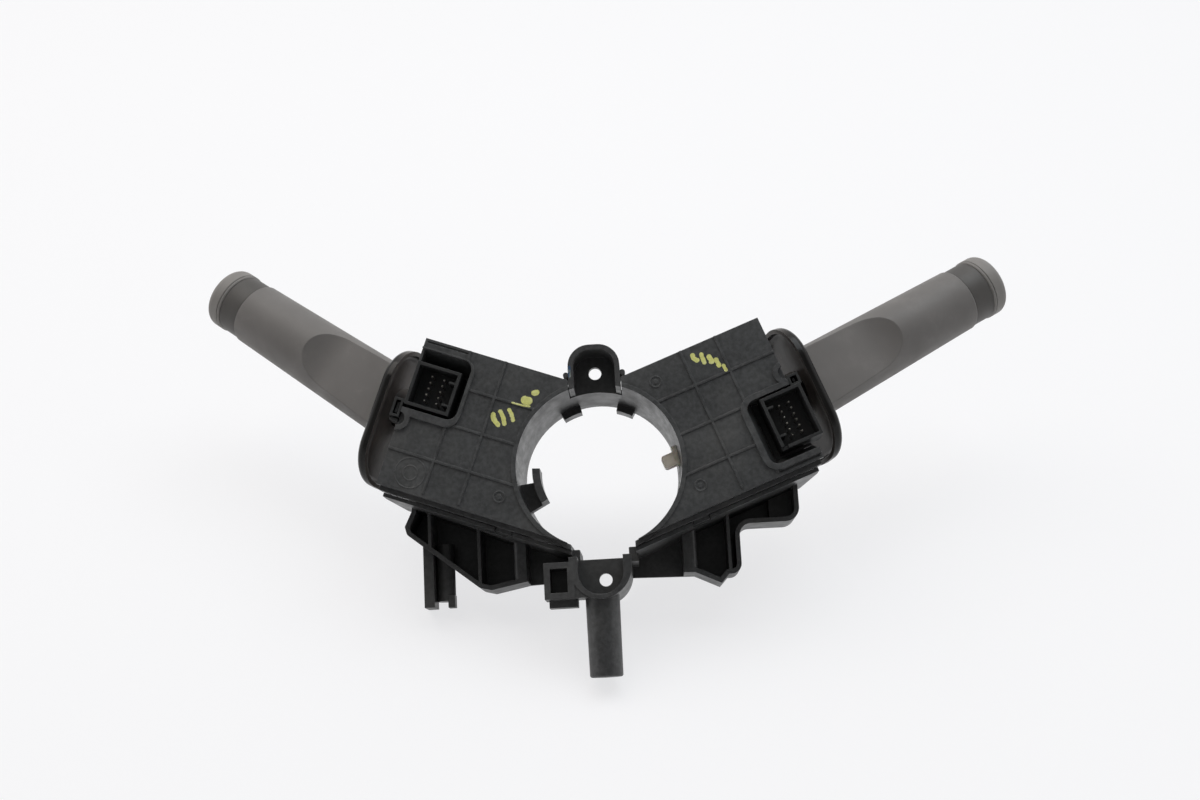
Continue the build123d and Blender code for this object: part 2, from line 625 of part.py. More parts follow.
def housing(side):
    """Housing: a deep tray open to the cover and at its outer end, with the carrier's bearing."""
    low = MODULE_LOW + COVER_INSET
    top = MODULE_TOP - COVER_INSET
    outer = rectangle(-10, REACH, low, top) - Circle(HOUSING_BORE_R)
    inner = rectangle(-10, REACH + 5, low + HOUSING_WALL, top - HOUSING_WALL)
    inner -= Circle(HOUSING_BORE_R + HOUSING_WALL)
    shell = slab(outer, COVER_T, HOUSING_FAR)
    rails = rectangle(-10, SEAM_RAIL_END, low - SEAM_RAIL_H, top) - Circle(HOUSING_BORE_R)
    shell += slab(rails, COVER_T, COVER_T + SEAM_RAIL_T)
    shell -= slab(inner, 0, FLOOR_Y)
    shell -= end_slope()
    shell -= gap_cutter(0, 60, HOUSING_WALL)
    wall = rectangle(TOP_GAP_HALF + 0.2, TOP_GAP_HALF + 0.2 + HOUSING_WALL, 33, 60)
    wall_low = rectangle(BOTTOM_GAP_HALF + 0.2, BOTTOM_GAP_HALF + 0.2 + HOUSING_WALL, -40, -30)
    closing = Rot(0, MODULE_TILT, 0) * slab(wall + wall_low, COVER_T, HOUSING_FAR)
    shell += closing & slab(outer, COVER_T, HOUSING_FAR)
    shell += slab(disc(PIVOT_U, PIVOT_V, NOSE_R), FLOOR_Y, HOUSING_FAR)
    shell -= slab(disc(PIVOT_U, PIVOT_V, TRUNNION_R + RUN_GAP), FLOOR_Y - 1, HOUSING_FAR + 1)
    nub_low = MODULE_LOW - TRAY_GAP - TRAY_WALL + 0.2
    nub_far = TRAY_START_Y + SNAP_DEPTH - SNAP_GAP
    shell += block(SNAP_START, SNAP_END, COVER_T + SEAM_RAIL_T - 1, nub_far, nub_low, low)
    shell -= block(NOTCH_U, REACH, NOTCH_Y, REACH, NOTCH_V, REACH)
    if side == "turn":
        shell -= pawl_slot(PAWL_TAIL - 1)
    return shell


def pin_places(side):
    """Centres of the connector pins, in u and v."""
    u0, u1, v0, v1 = HEADER[side]
    spread = PIN_SPREAD[side]
    rows = PIN_ROWS[side]
    centre_u = (u0 + u1) / 2
    centre_v = (v0 + v1) / 2
    first = centre_v - PIN_PITCH * (rows - 1) / 2
    places = []
    for half in (-1, 1):
        places += [(centre_u + half * spread / 2, first + row * PIN_PITCH) for row in range(rows)]
    return places


def terminals(side):
    """Square connector pins through the contact base."""
    pins = Part()
    for u, v in pin_places(side):
        pin = block(u - PIN_W / 2, u + PIN_W / 2, PIN_TIP_Y, BASE_Y + BASE_T, v - PIN_W / 2, v + PIN_W / 2)
        pins += chamfer(pin.faces().sort_by(Axis.Y)[0].edges(), PIN_W / 4)
    return pins


def contact_base(side):
    """Plate across the housing with the connector header moulded on it."""
    low = MODULE_LOW + COVER_INSET + HOUSING_WALL + 0.2
    top = MODULE_TOP - COVER_INSET - HOUSING_WALL - 0.2
    outline = rectangle(-10, REACH, low, top) - Circle(HOUSING_BORE_R + HOUSING_WALL + 0.2)
    plate = slab(outline, BASE_Y, BASE_Y + BASE_T)
    plate -= gap_cutter(0, 60, 2 * HOUSING_WALL + 0.4)
    plate -= end_slope(-0.5)
    u0, u1, v0, v1 = HEADER[side]
    wall = HEADER_WALL
    shell = block(u0 - wall, u1 + wall, HEADER_MOUTH, BASE_Y + 0.5, v0 - wall, v1 + wall)
    shell -= block(u0, u1, HEADER_MOUTH - 1, BASE_Y - HEADER_FLOOR, v0, v1)
    flange_end = min(u1 + wall, MODULE_END - 0.2)
    rim = wall + WELL_WALL
    shell += block(u0 - wall, flange_end, BASE_Y, BASE_Y + BASE_T, v0 - rim, v1 + rim)
    a0, a1, b0, b1 = LATCH[side]
    near = HEADER_MOUTH + 0.4
    latch = block(a0, a1, near, LATCH_DEPTH, b0, b1)
    latch -= block(a0 + LATCH_WALL, a1 - LATCH_WALL, -5, LATCH_DEPTH - 1, b0 + LATCH_WALL, b1 - LATCH_WALL)
    middle = (a0 + a1) / 2
    latch += block(middle - 0.5, middle + 0.5, near + 1.2, LATCH_DEPTH, b0 + 1.6, b1 - 1.6)
    base = plate + shell + latch
    for v in HEADER_RIBS[side]:
        base += block(u0 - 0.1, u0 + HEADER_RIB_L, near, BASE_Y - HEADER_FLOOR + 0.1, v - HEADER_RIB_T / 2,
                      v + HEADER_RIB_T / 2)
    if side == "wiper":
        base += block(u1, a0 + 0.1, near, LATCH_DEPTH, b1 - 1.2, b1)
        base += block(a0, a1 - 0.3, near + 1.0, LATCH_DEPTH, b0 - 1.6, b0 - 0.7)
        base += block(a0 + 0.6, a1 - 0.9, near + 3.0, LATCH_DEPTH, b0 - 0.8, b0 + 0.1)
    else:
        base -= block(u0 - wall - 1, u0 + 1.4, -5, near + 2.0, v0 - wall - 1, v0 + 0.1)
    base -= slab(disc(PIVOT_U, PIVOT_V, TRUNNION_R + RUN_GAP), BASE_Y - 1, BASE_Y + BASE_T + 1)
    for u, v in pin_places(side):
        base -= block(u - PIN_W / 2, u + PIN_W / 2, 0, 20, v - PIN_W / 2, v + PIN_W / 2)
    return base


def detent_block():
    """Block with a hollow spherical face and grooves that the stalk's plunger clicks into."""
    body = block(BLOCK_BACK, PIVOT_U - DETENT_R * 0.76, PIVOT_Y - 8, FLOOR_Y, PIVOT_V - 15, PIVOT_V + 15)
    body -= Pos(*PIVOT) * Sphere(DETENT_R)
    for step in range(-3, 4):
        angle = (WIPER_RISE + TURN_RISE) / 2 + step * DETENT_STEP
        groove = Pos(-DETENT_R + DETENT_GROOVE_R - 0.8, 0, 0) * Rot(90, 0, 0) * Cylinder(DETENT_GROOVE_R, 13)
        body -= Pos(*PIVOT) * Rot(0, -angle, 0) * groove
    return body


# ---------------------------------------------------------------- moving pieces
def carrier(side):
    """Carrier: a yoke on two trunnions, with an arm for the contact slider."""
    near = block(-CHEEK_HALF_X, CHEEK_HALF_X, BASE_Y + BASE_T + SIDE_GAP - PIVOT_Y, YOKE_NEAR,
                 -EYE_HALF - 0.3 - CHEEK_T, EYE_HALF + 0.3 + CHEEK_T)
    far = block(-CHEEK_HALF_X, CHEEK_HALF_X, YOKE_FAR, FLOOR_Y - SIDE_GAP - PIVOT_Y,
                -EYE_HALF - 0.3 - CHEEK_T, EYE_HALF + 0.3 + CHEEK_T)
    yoke = near + far
    for sign in (-1, 1):
        z0 = sign * (EYE_HALF + 0.3)
        z1 = z0 + sign * CHEEK_T
        yoke += block(-CHEEK_HALF_X, CHEEK_HALF_X, YOKE_NEAR - 0.1, YOKE_FAR + 0.1, min(z0, z1), max(z0, z1))
    yoke += slab(Circle(TRUNNION_R), BASE_Y + 0.1 - PIVOT_Y, YOKE_NEAR)
    yoke += slab(Circle(TRUNNION_R), YOKE_FAR, HOUSING_FAR - 0.1 - PIVOT_Y)
    yoke += block(-18, -CHEEK_HALF_X + 0.5, -8.1, YOKE_NEAR + 0.2, -5, 5)
    yoke -= Cylinder(CROSS_PIN_R, 60)
    return swing_frame(side) * yoke


def cross_pin(side):
    """Pin across the carrier that the stalk tips on."""
    return swing_frame(side) * Cylinder(CROSS_PIN_R, 2 * (EYE_HALF + 0.3 + CHEEK_T))


def contact_slider(side):
    """Slider under the carrier's arm, with three contact domes over the contact base."""
    top = -8.1
    plate = block(-17.5, -8.5, top - 0.6, top, -4.6, 4.6)
    for z in (-3, 0, 3):
        plate += Pos(-13, top - 0.55, z) * Rot(90, 0, 0) * Cylinder(0.6, 0.4)
    return swing_frame(side) * plate


def lever_core(side):
    """Core of the stalk: cross eye, inner arm with the plunger's bore, and the long shank."""
    eye = Cylinder(EYE_R, 2 * EYE_HALF)
    arm = rod(ARM_R, ARM_END, 0)
    shank = rod(SHANK_R, 0, SHANK_END) + rod(SPIGOT_R, SHANK_END - 1, KNOB_END - 3)
    shank -= Pos(60, 0, SHANK_R) * Box(66, 2.4, 3.2)
    shank -= Pos(60, 0, -SHANK_R) * Box(66, 2.4, 3.2)
    core = eye + arm + Rot(0, 0, STALK_LEAN) * shank
    core -= Cylinder(CROSS_PIN_R + RUN_GAP, 60)
    core -= rod(PLUNGER_R + RUN_GAP, ARM_END - 1, PLUNGER_BORE_END)
    return swing_frame(side) * core


def detent_plunger(side):
    """Plunger with a round tip, in the end of the stalk's inner arm."""
    back = ARM_END + 5.0
    body = rod(PLUNGER_R, PLUNGER_TIP + PLUNGER_TIP_R + 0.3, back)
    return swing_frame(side) * (body + Pos(PLUNGER_TIP + PLUNGER_TIP_R, 0, 0) * Sphere(PLUNGER_TIP_R))


def detent_spring(side):
    """Spring behind the plunger."""
    return swing_frame(side) * coil(PLUNGER_R - 0.5, SPRING_WIRE, ARM_END + 5.0, PLUNGER_BORE_END, 5)


def shroud_blank(inset, x0, x1, edge=0.0):
    """Rounded oblong solid square to the shroud's axis."""
    outline = RectangleRounded(SHROUD_D - 2 * inset, SHROUD_H - 2 * inset, SHROUD_CORNER - inset)
    solid = extrude(Plane.YZ.offset(x0) * (Pos(SHROUD_W, SHROUD_V) * outline), amount=x1 - x0)
    if edge:
        solid = fillet(solid.faces().sort_by(Axis.X)[-1].edges(), edge)
    return solid


def shroud(side):
    """Shallow cup round the stalk, open towards the module, with a hub for the shank."""
    front = SHROUD_BACK - SHROUD_CUP
    cup = shroud_blank(0, front, SHROUD_BACK, SHROUD_EDGE)
    cup -= shroud_blank(SHROUD_WALL, front - 1, SHROUD_BACK - SHROUD_FLOOR, SHROUD_IN_EDGE)
    cup = shroud_frame() * cup
    hub_end = SHROUD_BACK - 1
    cup += (stalk_frame(side) * rod(HUB_R, hub_end - HUB_L, hub_end + HUB_R)) & behind_shroud()
    return cup - stalk_frame(side) * rod(SHANK_R, 0, 60)


def behind_shroud():
    """Everything on the module's side of the shroud's back face."""
    return shroud_frame() * block(-60, SHROUD_BACK, -80, 80, -80, 80)


def grip(side):
    """Hollow grip, tapered to the tip, with a thumb scallop on its rear side."""
    outer = Polygon((10, 0), (10, GRIP_BASE_R), (GRIP_END, GRIP_TIP_R), (GRIP_END, 0), align=None)
    body = revolve(outer, axis=Axis.X)
    body = fillet(body.faces().sort_by(Axis.X)[-1].edges(), 0.8)
    far = GRIP_END - 4
    inner = Polygon(
        (30, 0), (30, GRIP_BASE_R - GRIP_WALL - 0.4), (far, GRIP_TIP_R - GRIP_WALL), (far, 0), align=None)
    cavity = revolve(inner, axis=Axis.X)
    scallop = thumb_flat()
    body -= scallop
    cavity -= Pos(0, GRIP_WALL, 0) * scallop
    body -= cavity
    body -= rod(SHANK_R, 0, SHANK_END)
    body -= rod(SPIGOT_R, 0, GRIP_END + 5)
    return stalk_frame(side) * body - behind_shroud()


def thumb_flat():
    """Cutter of the thumb flat on the grip's rear side, with a round ramp at its outer end."""
    floor = Line((0, SCALLOP_START), (SCALLOP_RAMP, SCALLOP_FLOOR))
    ramp = JernArc(start=floor @ 1, tangent=floor % 1, radius=SCALLOP_R, arc_size=-60)
    end = ramp @ 1
    rest = Polyline((end.X, end.Y), (end.X, -40), (0, -40), (0, SCALLOP_START))
    return extrude(make_face(floor + ramp + rest), amount=20, both=True)


def collar(side):
    """Plain collar between the grip and the knob."""
    body = rod(COLLAR_R, GRIP_END, COLLAR_END) - rod(SPIGOT_R, GRIP_END - 1, COLLAR_END + 1)
    return stalk_frame(side) * body


def knob(side):
    """Turning end knob with a lip and a rounded end, hollow on the spigot."""
    start = COLLAR_END + KNOB_GAP
    body = fillet(rod(KNOB_R, start, KNOB_END).faces().sort_by(Axis.X)[-1].edges(), 3.0)
    body = chamfer(body.faces().sort_by(Axis.X)[0].edges(), 0.5)
    groove = rod(KNOB_R + 1, start + KNOB_LIP, start + KNOB_LIP + 0.4) - rod(KNOB_R - 0.3, start, start + 3)
    return stalk_frame(side) * (body - groove - rod(SPIGOT_R + RUN_GAP, start - 1, KNOB_END - 2.5))


def cancel_pawl():
    """Self-cancelling pawl: a nose, a wider body, a guide that follows the bore and a spring pocket."""
    low = PAWL_V - PAWL_W / 2
    high = PAWL_V + PAWL_W / 2
    shoulder = PAWL_TIP + PAWL_NOSE
    nose = rectangle(PAWL_TIP, shoulder + 1, low + 0.3, high - 2.0, 1.2)
    body = nose + rectangle(shoulder, PAWL_TAIL, low, high)
    guide = rectangle(shoulder, PAWL_TAIL, PAWL_GUIDE_V, low + 1) - Circle(BORE_R + PAWL_GUIDE_SINK)
    body += guide + rectangle(PAWL_TAIL - 1.8, PAWL_TAIL, low, high + PAWL_SHOULDER)
    solid = slab(body, PAWL_Y - PAWL_T / 2, PAWL_Y + PAWL_T / 2)
    return solid - Pos(0, PAWL_Y, PAWL_V) * rod(PAWL_SPRING_R + 0.4, PAWL_TAIL - 9, PAWL_TAIL + 1)


def cancel_spring():
    """Spring between the pawl and the detent block."""
    return Pos(0, PAWL_Y, PAWL_V) * coil(PAWL_SPRING_R, SPRING_WIRE, PAWL_TAIL - 9, BLOCK_BACK, 7)


# ---------------------------------------------------------------- assembly
def build_parts():
    """All sub-parts in the object's frame, by node name."""
    parts = {"column_bracket": column_bracket()}
    for side in ("wiper", "turn"):
        parts[side + "_housing"] = place(side, housing(side))
        parts[side + "_rear_cover"] = place(side, rear_cover(side))
        parts[side + "_contact_base"] = place(side, contact_base(side))
        parts[side + "_terminals"] = place(side, terminals(side))
        parts[side + "_detent_block"] = place(side, detent_block())
        parts[side + "_carrier"] = place(side, carrier(side))
        parts[side + "_cross_pin"] = place(side, cross_pin(side))
        parts[side + "_contact_slider"] = place(side, contact_slider(side))
        parts[side + "_lever_core"] = place(side, lever_core(side))
        parts[side + "_detent_plunger"] = place(side, detent_plunger(side))
        parts[side + "_detent_spring"] = place(side, detent_spring(side))
        parts[side + "_shroud"] = place(side, shroud(side))
        parts[side + "_grip"] = place(side, grip(side))
        parts[side + "_collar"] = place(side, collar(side))
        parts[side + "_knob"] = place(side, knob(side))
    parts["cancel_pawl"] = place("turn", cancel_pawl())
    parts["cancel_spring"] = place("turn", cancel_spring())
    return parts


def main():
    os.makedirs("parts", exist_ok=True)
    for name, solid in build_parts().items():
        solid.label = name
        export_step(solid, os.path.join("parts", name + ".step"))


if __name__ == "__main__":
    main()
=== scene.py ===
import math

import bmesh
import bpy
from bpy.props import FloatProperty, FloatVectorProperty, PointerProperty
from bpy.types import Operator, Panel, PropertyGroup
from mathutils import Matrix, Vector, noise
from mathutils.bvhtree import BVHTree


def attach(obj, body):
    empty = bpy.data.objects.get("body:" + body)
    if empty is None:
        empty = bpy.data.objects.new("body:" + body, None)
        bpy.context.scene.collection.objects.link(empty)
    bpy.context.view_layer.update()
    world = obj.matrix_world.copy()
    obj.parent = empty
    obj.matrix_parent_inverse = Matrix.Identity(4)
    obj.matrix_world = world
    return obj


bl_info = {
    "name": "Combination stalk switch",
    "version": (1, 0, 0),
    "blender": (4, 5, 0),
    "location": "3D View > Sidebar > Stalk switch",
    "description": "Finishes, paint marks and studio for a steering-column combination switch",
    "category": "Object",
}

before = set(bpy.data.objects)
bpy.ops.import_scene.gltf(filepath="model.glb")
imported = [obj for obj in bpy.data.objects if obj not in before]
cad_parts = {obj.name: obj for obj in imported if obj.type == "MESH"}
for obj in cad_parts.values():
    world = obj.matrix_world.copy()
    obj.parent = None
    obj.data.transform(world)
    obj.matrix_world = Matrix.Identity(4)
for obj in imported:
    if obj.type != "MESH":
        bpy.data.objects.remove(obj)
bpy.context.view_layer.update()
MM = 0.001
SIDES = ("wiper", "turn")

# sizes in millimetres, angles in degrees
MODULE_TILT = 20.5       # rise of each module's centre line
MODULE_END = 79.9        # outer end of the rear covers
BAY_CENTRE = {"wiper": (80.3, -5.2), "turn": (80.5, 4.2)}   # along and up in the module
BAY_R = 2.85
BAY_FLOOR_Y = (1.2, 2.1)
BAY_STEPS = 20
WELL_SLOPE = ((0.35, 24.3), (11.7, 19.7), (11.7, 24.3))     # depth and height in the module
WELL_SLOPE_START = 58.7  # inner end of the well, along the module
POCKET_Y = 17.95         # near face of the pocket walls
POST_BACK_Y = 35.8
POST_FOOT_Z = -40.9
POST_TOP_Z = -26.4
POST = {"left_post": (-30.85, -35.9), "right_post": (30.45, 35.9)}   # flat side and nose
POST_ROUND = 2.1
POST_ROUND_STEPS = 8
CLIP_WEB = ((-12.2, -44.2), (-12.2, -50.05), (-5.4, -50.05), (-11.5, -44.2))   # across and up
CLIP_WEB_Y = (0.4, 12.9)
SOFT_EDGE = 0.0002       # metres
SHARP_ANGLE = 0.7        # radians between two faces whose edge is softened

# brush work
PATH_STEPS = 10          # points of a stroke between two given ones
STROKE_ACROSS = 6        # faces over the width of a stroke
RAG_PITCH = 1400         # ragged places per metre
RAG_SHARE = 0.28         # how far a ragged side wanders, of the half width
TIP_SHARE = 0.12         # half width at the very tip, of the full one
RIM_START = 0.9          # where the paint thins out towards its sides
RIM_THICKNESS = 0.35
RAY_START_Y = -0.03      # in front of the covers, in metres
SMEAR_WIDTH = 0.0011
SMEAR_LIFT = 0.00003
SMEAR_PATH = ((-9.4, 40.0), (-9.6, 37.6), (-9.5, 35.2))

# finishes
BEVEL_SAMPLES = 6
EDGE_COSINES = (0.995, 0.86)     # between true and rounded normal, from flat to full edge
INWARD_RANGE = (0.12, -0.35)     # from a wall that faces outward to one that faces inward
RUBBED_SHARE = 0.35              # how strongly moulded edges are rubbed
EDGE_HIGHLIGHT_SHARE = 0.6                 # strength of the painted highlight along the shrouds' edges
# how strongly each shroud's inward-facing walls are painted with the white table's reflection
SHROUD_REFLECTION_SHARE = {"wiper": 1.0, "turn": 0.45}
MIX_INPUTS = (0, 6, 7)           # the Mix node's factor and its two colours
MIX_COLOUR = 2                   # the Mix node's colour output

# fixed colours
DUST = (0.20, 0.195, 0.185, 1.0)
RUBBED_EDGE = (0.115, 0.115, 0.115, 1.0)
SCRATCH = (0.24, 0.21, 0.19, 1.0)
# painted highlight: light colour laid along the shrouds' edges
EDGE_HIGHLIGHT_COLOUR = (0.13, 0.125, 0.12, 1.0)
THICK_PAINT = (0.74, 0.75, 0.52, 1.0)
TIN = (0.62, 0.60, 0.55)
STEEL = (0.55, 0.55, 0.56)
TABLE_LIGHT = (0.985, 0.985, 1.0, 1.0)
WARM = (1.0, 0.945, 0.885)
COOL = (0.90, 0.96, 1.0)

# studio, in metres
SENSOR_WIDTH = 36.0      # millimetres
CLIP = (0.01, 20.0)
TABLE_FOOT = (-0.0015, 0.01535, -0.0798)   # where the object stands on the table
TABLE_GAP = 0.0002
TABLE_SIZE = 3.0
MIRRORED_GLOW = 0.6      # share of the table's glow that reflections see
LIGHT_PLACE = (0.45, -0.55, 1.0)           # the cool light's; the warm one's is mirrored
LIGHT_SIZE = (0.9, 0.8)
DARK_TOWARDS = (0.0, -0.98, 0.12)          # middle of the dark part of the surround
DARK_CONE = (0.42, 0.68)                   # cosines where it starts and where it is full


# ---------------------------------------------------------------- settings
def colour_setting(name, description, default):
    return FloatVectorProperty(
        name=name, description=description, default=default, size=3, min=0.0, max=1.0,
        subtype="COLOR")


def length_setting(name, description, default, low, high):
    return FloatProperty(
        name=name, description=description, default=default, min=low, max=high,
        subtype="DISTANCE", unit="LENGTH")


def angle_setting(name, description, degrees):
    return FloatProperty(
        name=name, description=description, default=math.radians(degrees), subtype="ANGLE",
        unit="ROTATION")


def power_setting(name, description, default):
    return FloatProperty(
        name=name, description=description, default=default, min=0.0, max=500.0,
        subtype="POWER", unit="POWER")


def plain_setting(name, description, default, low, high, subtype="NONE"):
    return FloatProperty(
        name=name, description=description, default=default, min=low, max=high, subtype=subtype)


class FinishSettings(PropertyGroup):
    bracket_colour: colour_setting(
        "Bracket", "Colour of the textured black moulding", (0.045, 0.0455, 0.0465))
    cover_colour: colour_setting(
        "Rear covers", "Colour of the satin rear covers", (0.052, 0.0535, 0.055))
    base_colour: colour_setting(
        "Contact bases", "Colour of the connector mouldings", (0.015, 0.016, 0.0165))
    shroud_colour: colour_setting(
        # colour of the painted reflection of the white table on the shrouds' inward-facing walls
        "Shrouds", "Colour of the polished shrouds", (0.007, 0.0065, 0.006))
    shroud_reflection_colour: colour_setting(
        "Shroud film", "Colour of the dull film inside the shrouds", (0.17, 0.148, 0.138))
    grip_colour: colour_setting("Grips", "Colour of the grained grips", (0.165, 0.156, 0.150))
    collar_colour: colour_setting(
        "Collars", "Colour of the smooth collars", (0.080, 0.075, 0.071))
    knob_colour: colour_setting("Knobs", "Colour of the end knobs", (0.230, 0.218, 0.208))
    pawl_colour: colour_setting(
        "Pawl", "Colour of the natural acetal pawl", (0.94, 0.87, 0.75))
    grain_size: length_setting(
        "Grain size", "Spacing of the moulded grain", 0.00035, 0.0001, 0.003)
    edge_radius: length_setting(
        "Edge radius", "Radius that the moulded edges catch the light with", 0.00025, 0.0, 0.002)


class MarkSettings(PropertyGroup):
    paint_colour: colour_setting(
        "Paint marks", "Colour of the inspection paint", (0.74, 0.74, 0.24))
    smear_colour: colour_setting(
        "Marker smear", "Colour of the marker on the upper ear", (0.02, 0.07, 0.16))
    stroke_width: length_setting("Stroke width", "Width of a paint stroke", 0.0017, 0.0005, 0.005)
    stroke_lift: length_setting("Stroke lift", "Thickness of the paint", 0.00006, 0.00001, 0.0005)


class StudioSettings(PropertyGroup):
    camera_place: FloatVectorProperty(
        name="Camera place", description="Where the camera stands", size=3,
        default=(0.01762, -0.56839, -0.09495), subtype="TRANSLATION", unit="LENGTH")
    camera_yaw: angle_setting("Camera yaw", "Turn of the camera to the side", -1.59)
    camera_pitch: angle_setting("Camera pitch", "Downward turn of the camera", -11.971)
    camera_roll: angle_setting("Camera roll", "Roll of the camera", -3.118)
    lens: plain_setting(
        "Lens", "Focal length in millimetres on a 36 mm wide sensor", 45.0, 10.0, 200.0)
    table_up: FloatVectorProperty(
        name="Table direction", description="Upward direction of the table", size=3,
        default=(0.062, -0.787, 0.613), subtype="DIRECTION")
    table_colour: colour_setting("Table", "Colour of the table", (0.90, 0.90, 0.905))
    table_glow: plain_setting(
        "Table glow", "How much of the table is seen as plain white", 0.72, 0.0, 1.0, "FACTOR")
    warm_power: power_setting("Warm light", "Power of the overhead light on the wiper side", 5.4)
    cool_power: power_setting("Cool light", "Power of the overhead light on the turn side", 6.0)
    sky: plain_setting("Sky", "Strength of the even light from all round", 0.80, 0.0, 2.0)
    dark_side: plain_setting(
        "Dark side", "Strength of the surround behind the camera", 0.15, 0.0, 2.0)


class StalkSwitchSettings(PropertyGroup):
    finish: PointerProperty(
        type=FinishSettings, name="Finishes", description="Colours and grain of the mouldings")
    marks: PointerProperty(
        type=MarkSettings, name="Marks", description="Paint marks on the covers and the ear")
    studio: PointerProperty(
        type=StudioSettings, name="Studio", description="Camera, table and lights")


def settings():
    return bpy.context.scene.stalk_switch


# ---------------------------------------------------------------- material nodes
class Finish:
    """One material and its node tree, with short ways to add and join nodes."""

    def __init__(self, name):
        self.material = bpy.data.materials.new(name)
        self.material.use_nodes = True
        self.tree = self.material.node_tree
        self.shader = self.tree.nodes["Principled BSDF"]
        self.output = self.tree.nodes["Material Output"]
        coordinates = self.tree.nodes.new("ShaderNodeTexCoord")
        self.place = coordinates.outputs["Object"]

    def feed(self, socket, value):
        """Join a socket to another node's output, or set its value."""
        if isinstance(value, bpy.types.NodeSocket):
            self.tree.links.new(value, socket)
        else:
            socket.default_value = value

    def node(self, kind, inputs=None, **values):
        made = self.tree.nodes.new(kind)
        for key, value in values.items():
            setattr(made, key, value)
        for key, value in (inputs or {}).items():
            self.feed(made.inputs[key], value)
        return made

    def noise(self, size, detail=3.0, roughness=0.55, stretch=(1, 1, 1)):
        """Noise with blotches of the given size in metres."""
        place = self.place
        if stretch != (1, 1, 1):
            place = self.node("ShaderNodeMapping", {"Vector": place, "Scale": stretch})
            place = place.outputs["Vector"]
        made = self.node("ShaderNodeTexNoise", {
            "Vector": place, "Scale": 1.0 / size, "Detail": detail, "Roughness": roughness})
        return made.outputs["Fac"]

    def ramp(self, value, low, high, start=0.0, end=1.0):
        """Stretch of a value from one range to another, held at both ends."""
        made = self.node("ShaderNodeMapRange", {
            "Value": value, "From Min": low, "From Max": high, "To Min": start, "To Max": end},
            clamp=True)
        return made.outputs["Result"]

    def maths(self, operation, first, second):
        made = self.node("ShaderNodeMath", {0: first, 1: second}, operation=operation)
        return made.outputs[0]

    def mix(self, amount, first, second):
        """Blend of two colours."""
        made = self.node("ShaderNodeMix", data_type="RGBA")
        for index, value in zip(MIX_INPUTS, (amount, first, second)):
            self.feed(made.inputs[index], value)
        return made.outputs[MIX_COLOUR]

    def soft_edges(self, radius):
        """Normal with every edge rounded by the radius."""
        made = self.node("ShaderNodeBevel", {"Radius": radius}, samples=BEVEL_SAMPLES)
        return made.outputs["Normal"]

    def edge_mask(self, rounded):
        """Where the surface turns over an edge."""
        flat = self.node("ShaderNodeNewGeometry").outputs["True Normal"]
        turn = self.node("ShaderNodeVectorMath", {0: rounded, 1: flat}, operation="DOT_PRODUCT")
        return self.ramp(turn.outputs["Value"], *EDGE_COSINES)

    def inward_mask(self):
        """Surfaces that look back towards the middle of the object."""
        across = self.node("ShaderNodeSeparateXYZ", {"Vector": self.place}).outputs["X"]
        normal = self.node("ShaderNodeTexCoord").outputs["Normal"]
        facing = self.node("ShaderNodeSeparateXYZ", {"Vector": normal}).outputs["X"]
        side = self.node("ShaderNodeMath", {0: across}, operation="SIGN").outputs[0]
        return self.ramp(self.maths("MULTIPLY", facing, side), *INWARD_RANGE)

    def bump(self, height, distance, strength, normal=None):
        inputs = {"Height": height, "Distance": distance, "Strength": strength}
        if normal is not None:
            inputs["Normal"] = normal
        return self.node("ShaderNodeBump", inputs).outputs["Normal"]

    def set(self, **values):
        for key, value in values.items():
            self.feed(self.shader.inputs[key.replace("_", " ")], value)
        return self.material


def rgba(colour, gain=1.0):
    return (colour[0] * gain, colour[1] * gain, colour[2] * gain, 1.0)


def moulded_plastic(name, colour, roughness, grain, dust=0.0, mottle=0.25, depth=0.00002):
    """Moulded plastic: fine grain, cloudy sheen, rubbed edges and a little dust."""
    made = Finish(name)
    rounded = made.soft_edges(settings().finish.edge_radius)
    worn = made.edge_mask(rounded)
    cloud = made.noise(0.018, 4.0)
    streak = made.noise(0.009, 3.0, 0.6, (1, 1, 3.2))
    blotch = made.ramp(made.noise(0.0018, 3.0, 0.6), 0.38, 0.62, 0.0, 0.6)
    patchy = made.maths("ADD", made.ramp(cloud, 0.35, 0.68, 0.0, 0.4), blotch)
    base = made.mix(patchy, rgba(colour, 1 - mottle), rgba(colour, 1 + mottle))
    specks = made.ramp(made.noise(0.0011, 2.0), 0.60, 0.78, 0.0, dust)
    pale_patches = made.ramp(made.noise(0.030, 5.0, 0.65), 0.48, 0.74, 0.0, dust * 1.6)
    base = made.mix(made.maths("MAXIMUM", specks, pale_patches), base, DUST)
    uneven = made.ramp(made.noise(0.0035, 3.0), 0.40, 0.62, 0.25, 1.0)
    scuffs = made.maths("MULTIPLY", worn, uneven)
    base = made.mix(made.maths("MULTIPLY", scuffs, RUBBED_SHARE), base, RUBBED_EDGE)
    rough = made.ramp(streak, 0.32, 0.70, roughness - 0.07, roughness + 0.09)
    bumped = made.bump(made.noise(grain, 2.0, 0.5), depth, 1.0, rounded)
    return made.set(Base_Color=base, Roughness=rough, Normal=bumped, Specular_IOR_Level=0.5)


